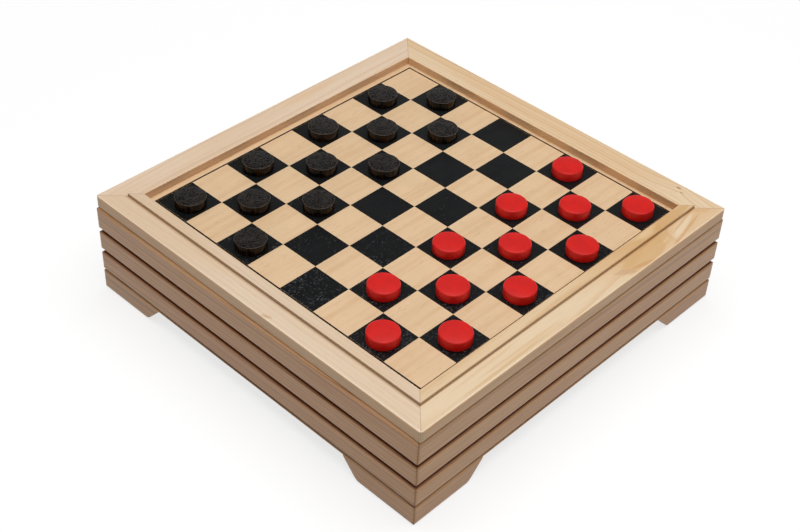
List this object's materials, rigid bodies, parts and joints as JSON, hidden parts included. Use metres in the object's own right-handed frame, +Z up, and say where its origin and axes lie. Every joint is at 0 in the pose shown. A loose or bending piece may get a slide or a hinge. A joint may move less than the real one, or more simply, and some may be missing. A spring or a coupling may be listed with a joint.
{
  "type": "games compendium box",
  "caption": "Square pine games box with grooved, mitred sides on bracket feet, a lift-off framed draughtboard lid and a set of red and black draughts.",
  "frame": {"origin": "on the floor, under the middle of the box", "axes": "+X to the right of the player who sits at -Y with the red draughts, +Y towards the player with the black ones, +Z up"},
  "size_m": [0.3074, 0.305, 0.0841],
  "materials": {
    "box_pine": "clear satin varnish on planed pine",
    "base_ply": "unvarnished plywood",
    "divider_wood": "planed softwood, unvarnished",
    "lid_pine": "clear satin varnish on planed pine",
    "board_veneer": "clear satin varnish on pale veneer",
    "black_veneer": "black-stained open-pored veneer, satin",
    "red_lacquer": "turned wood, satin red lacquer",
    "black_lacquer": "turned wood, glossy black lacquer"
  },
  "bodies": {
    "box": {"side_front": "box_pine", "side_back": "box_pine", "side_left": "box_pine", "side_right": "box_pine", "base_panel": "base_ply", "divider_long": "divider_wood", "divider_cross_left": "divider_wood", "divider_cross_right": "divider_wood"},
    "lid": {"lid_rail_front": "lid_pine", "lid_rail_back": "lid_pine", "lid_rail_left": "lid_pine", "lid_rail_right": "lid_pine", "board_panel": "board_veneer", "black_squares": "black_veneer", "border_line": "black_veneer", "lid_strip_front": "lid_pine", "lid_strip_back": "lid_pine", "lid_strip_left": "lid_pine", "lid_strip_right": "lid_pine"},
    "red_draught_01": {"red_draught_01": "red_lacquer"},
    "red_draught_02": {"red_draught_02": "red_lacquer"},
    "red_draught_03": {"red_draught_03": "red_lacquer"},
    "red_draught_04": {"red_draught_04": "red_lacquer"},
    "red_draught_05": {"red_draught_05": "red_lacquer"},
    "red_draught_06": {"red_draught_06": "red_lacquer"},
    "red_draught_07": {"red_draught_07": "red_lacquer"},
    "red_draught_08": {"red_draught_08": "red_lacquer"},
    "red_draught_09": {"red_draught_09": "red_lacquer"},
    "red_draught_10": {"red_draught_10": "red_lacquer"},
    "red_draught_11": {"red_draught_11": "red_lacquer"},
    "red_draught_12": {"red_draught_12": "red_lacquer"},
    "black_draught_01": {"black_draught_01": "black_lacquer"},
    "black_draught_02": {"black_draught_02": "black_lacquer"},
    "black_draught_03": {"black_draught_03": "black_lacquer"},
    "black_draught_04": {"black_draught_04": "black_lacquer"},
    "black_draught_05": {"black_draught_05": "black_lacquer"},
    "black_draught_06": {"black_draught_06": "black_lacquer"},
    "black_draught_07": {"black_draught_07": "black_lacquer"},
    "black_draught_08": {"black_draught_08": "black_lacquer"},
    "black_draught_09": {"black_draught_09": "black_lacquer"},
    "black_draught_10": {"black_draught_10": "black_lacquer"},
    "black_draught_11": {"black_draught_11": "black_lacquer"},
    "black_draught_12": {"black_draught_12": "black_lacquer"}
  },
  "joints": [
    {"name": "lid_lift", "type": "slide", "parent": "box", "child": "lid", "axis": [0, 0, 1], "range_m": [0, 0.12]},
    {"name": "red_draught_01_lift", "type": "slide", "parent": "lid", "child": "red_draught_01", "axis": [0, 0, 1], "range_m": [0, 0.03]},
    {"name": "red_draught_02_lift", "type": "slide", "parent": "lid", "child": "red_draught_02", "axis": [0, 0, 1], "range_m": [0, 0.03]},
    {"name": "red_draught_03_lift", "type": "slide", "parent": "lid", "child": "red_draught_03", "axis": [0, 0, 1], "range_m": [0, 0.03]},
    {"name": "red_draught_04_lift", "type": "slide", "parent": "lid", "child": "red_draught_04", "axis": [0, 0, 1], "range_m": [0, 0.03]},
    {"name": "red_draught_05_lift", "type": "slide", "parent": "lid", "child": "red_draught_05", "axis": [0, 0, 1], "range_m": [0, 0.03]},
    {"name": "red_draught_06_lift", "type": "slide", "parent": "lid", "child": "red_draught_06", "axis": [0, 0, 1], "range_m": [0, 0.03]},
    {"name": "red_draught_07_lift", "type": "slide", "parent": "lid", "child": "red_draught_07", "axis": [0, 0, 1], "range_m": [0, 0.03]},
    {"name": "red_draught_08_lift", "type": "slide", "parent": "lid", "child": "red_draught_08", "axis": [0, 0, 1], "range_m": [0, 0.03]},
    {"name": "red_draught_09_lift", "type": "slide", "parent": "lid", "child": "red_draught_09", "axis": [0, 0, 1], "range_m": [0, 0.03]},
    {"name": "red_draught_10_lift", "type": "slide", "parent": "lid", "child": "red_draught_10", "axis": [0, 0, 1], "range_m": [0, 0.03]},
    {"name": "red_draught_11_lift", "type": "slide", "parent": "lid", "child": "red_draught_11", "axis": [0, 0, 1], "range_m": [0, 0.03]},
    {"name": "red_draught_12_lift", "type": "slide", "parent": "lid", "child": "red_draught_12", "axis": [0, 0, 1], "range_m": [0, 0.03]},
    {"name": "black_draught_01_lift", "type": "slide", "parent": "lid", "child": "black_draught_01", "axis": [0, 0, 1], "range_m": [0, 0.03]},
    {"name": "black_draught_02_lift", "type": "slide", "parent": "lid", "child": "black_draught_02", "axis": [0, 0, 1], "range_m": [0, 0.03]},
    {"name": "black_draught_03_lift", "type": "slide", "parent": "lid", "child": "black_draught_03", "axis": [0, 0, 1], "range_m": [0, 0.03]},
    {"name": "black_draught_04_lift", "type": "slide", "parent": "lid", "child": "black_draught_04", "axis": [0, 0, 1], "range_m": [0, 0.03]},
    {"name": "black_draught_05_lift", "type": "slide", "parent": "lid", "child": "black_draught_05", "axis": [0, 0, 1], "range_m": [0, 0.03]},
    {"name": "black_draught_06_lift", "type": "slide", "parent": "lid", "child": "black_draught_06", "axis": [0, 0, 1], "range_m": [0, 0.03]},
    {"name": "black_draught_07_lift", "type": "slide", "parent": "lid", "child": "black_draught_07", "axis": [0, 0, 1], "range_m": [0, 0.03]},
    {"name": "black_draught_08_lift", "type": "slide", "parent": "lid", "child": "black_draught_08", "axis": [0, 0, 1], "range_m": [0, 0.03]},
    {"name": "black_draught_09_lift", "type": "slide", "parent": "lid", "child": "black_draught_09", "axis": [0, 0, 1], "range_m": [0, 0.03]},
    {"name": "black_draught_10_lift", "type": "slide", "parent": "lid", "child": "black_draught_10", "axis": [0, 0, 1], "range_m": [0, 0.03]},
    {"name": "black_draught_11_lift", "type": "slide", "parent": "lid", "child": "black_draught_11", "axis": [0, 0, 1], "range_m": [0, 0.03]},
    {"name": "black_draught_12_lift", "type": "slide", "parent": "lid", "child": "black_draught_12", "axis": [0, 0, 1], "range_m": [0, 0.03]}
  ]
}
